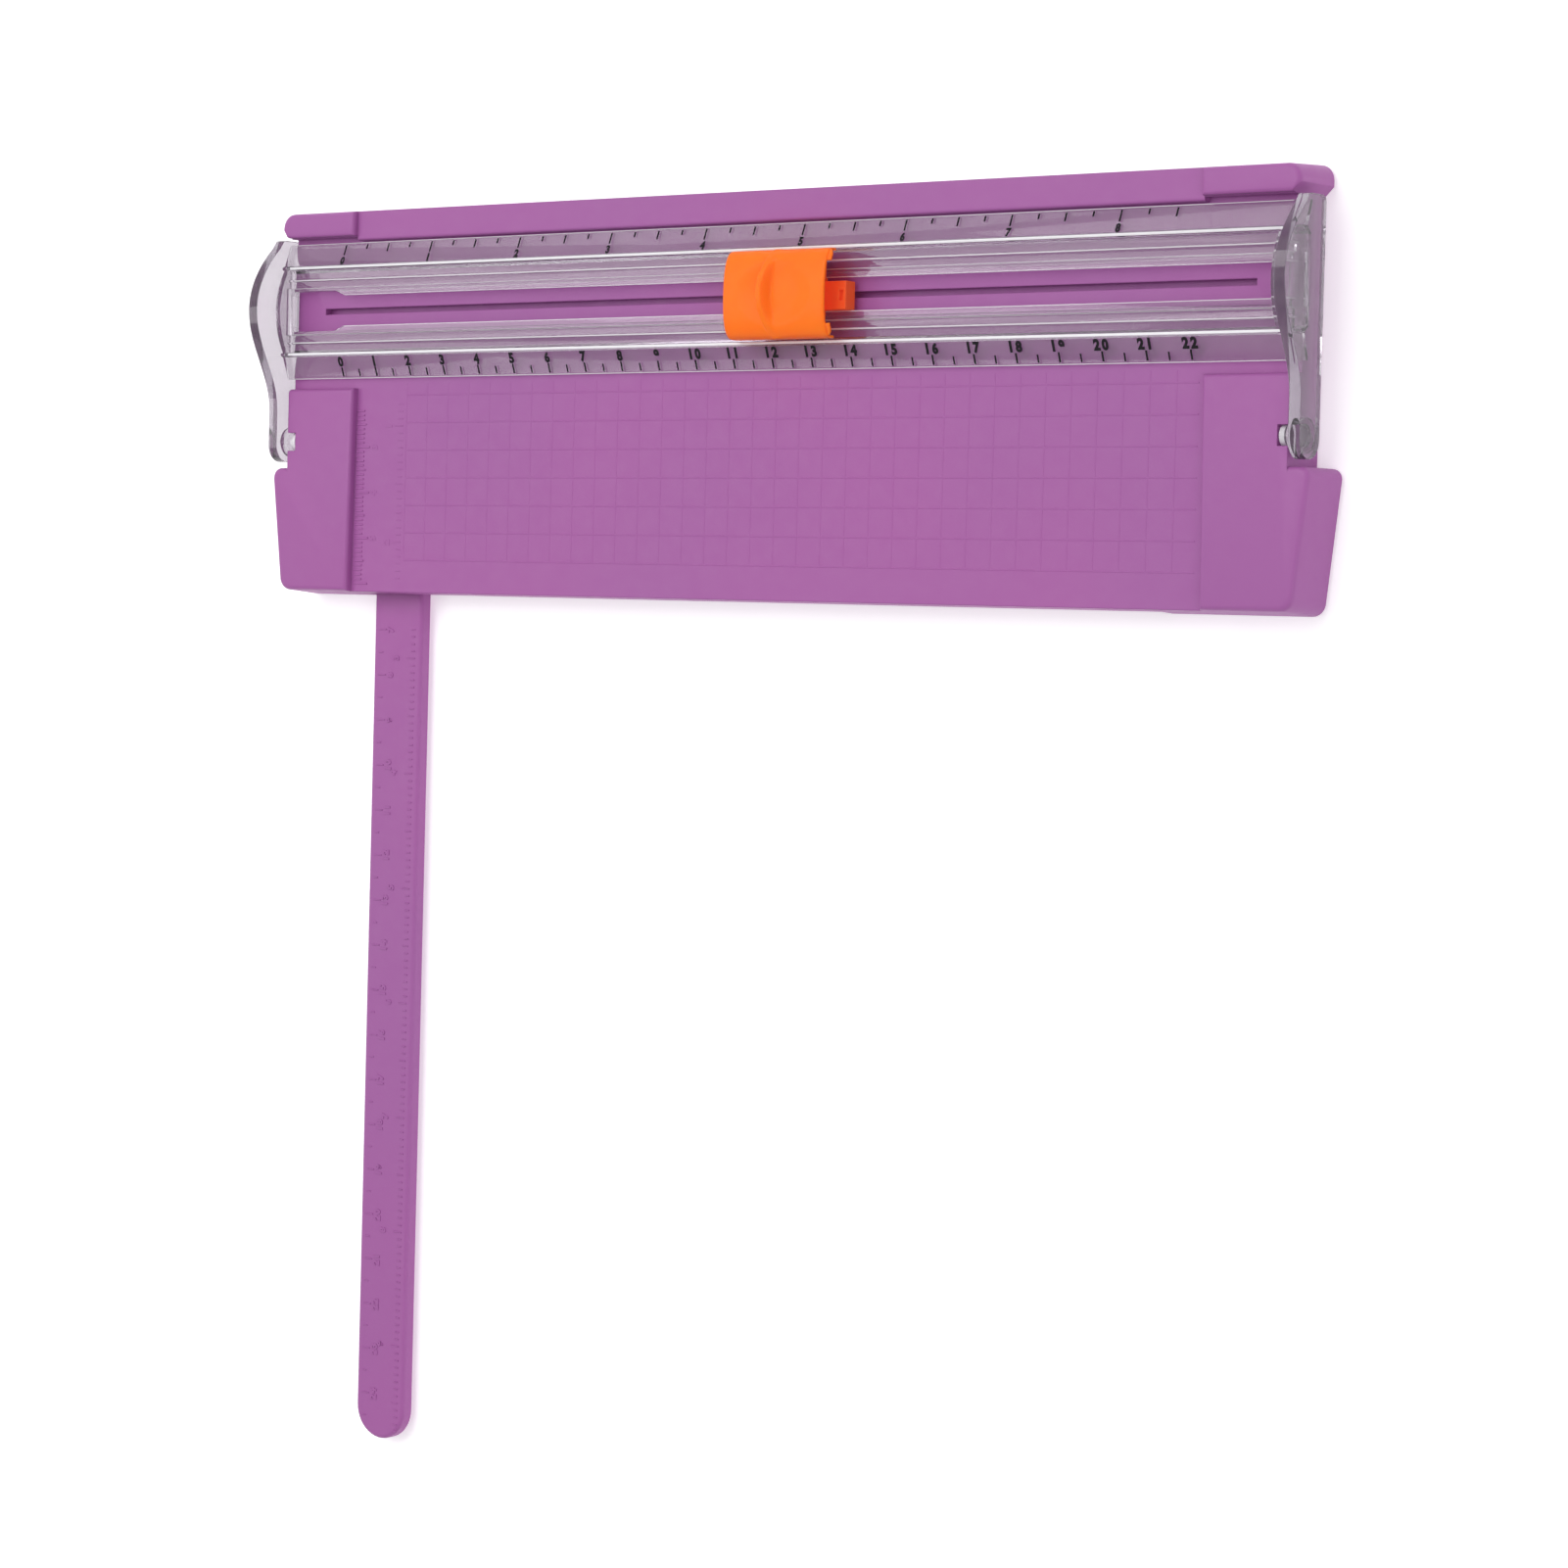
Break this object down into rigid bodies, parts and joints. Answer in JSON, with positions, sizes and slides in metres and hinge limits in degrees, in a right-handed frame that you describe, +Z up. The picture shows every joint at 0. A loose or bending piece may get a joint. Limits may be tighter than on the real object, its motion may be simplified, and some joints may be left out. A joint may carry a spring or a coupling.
{
  "type": "rotary paper trimmer",
  "caption": "Desktop paper trimmer: moulded base with fence and grid, lift-up clear rail, sliding press-down cutter cartridge and a swing-out ruler.",
  "frame": {"origin": "on the table, below the middle of the trimmer's outline with the ruler swung out; the cut line runs 113.75 mm behind it", "axes": "+X along the cut towards the end where the cartridge stops, +Y towards the paper fence, +Z up"},
  "size_m": [0.2688, 0.2721, 0.0213],
  "materials": {
    "purple_abs": "moulded satin ABS",
    "clear_plastic": "polished clear moulding",
    "orange_plastic": "slightly translucent satin",
    "deep_orange_plastic": "slightly translucent satin",
    "spring_steel": "drawn wire",
    "white_nylon": "moulded nylon",
    "bright_steel": "ground and polished",
    "foot_rubber": "soft matt"
  },
  "bodies": {
    "base": {"base_shell": "purple_abs", "rubber_feet": "foot_rubber", "ruler_pivot_screw": "bright_steel", "pivot_washer": "bright_steel", "friction_washer": "white_nylon"},
    "rail": {"cutter_rail": "clear_plastic"},
    "carriage": {"slider_carriage": "deep_orange_plastic", "press_springs": "spring_steel"},
    "cap": {"slider_cap": "orange_plastic", "blade_holder": "white_nylon", "wheel_axle": "bright_steel"},
    "wheel": {"cutter_wheel": "bright_steel", "wheel_hub": "white_nylon"},
    "ruler": {"ruler_arm": "purple_abs"}
  },
  "joints": [
    {"name": "rail_lift", "type": "hinge", "parent": "base", "child": "rail", "pos_m": [0, 0.08495, 0.0097], "axis": [1, 0, 0], "range_deg": [0, 100]},
    {"name": "cutter_slide", "type": "slide", "parent": "rail", "child": "carriage", "axis": [1, 0, 0], "range_m": [-0.124, 0.096]},
    {"name": "cap_press", "type": "slide", "parent": "carriage", "child": "cap", "axis": [0, 0, -1], "range_m": [0, 0.0016], "stiffness_N_per_m": 400, "springref_m": -0.0005, "deforming": ["press_springs"]},
    {"name": "wheel_spin", "type": "hinge", "parent": "cap", "child": "wheel", "pos_m": [0.0131, 0.11375, 0.0144], "axis": [0, 1, 0], "continuous": true},
    {"name": "ruler_swing", "type": "hinge", "parent": "base", "child": "ruler", "pos_m": [-0.1013, 0.06115, 0.0035], "axis": [0, 0, 1], "range_deg": [0, 90]}
  ]
}
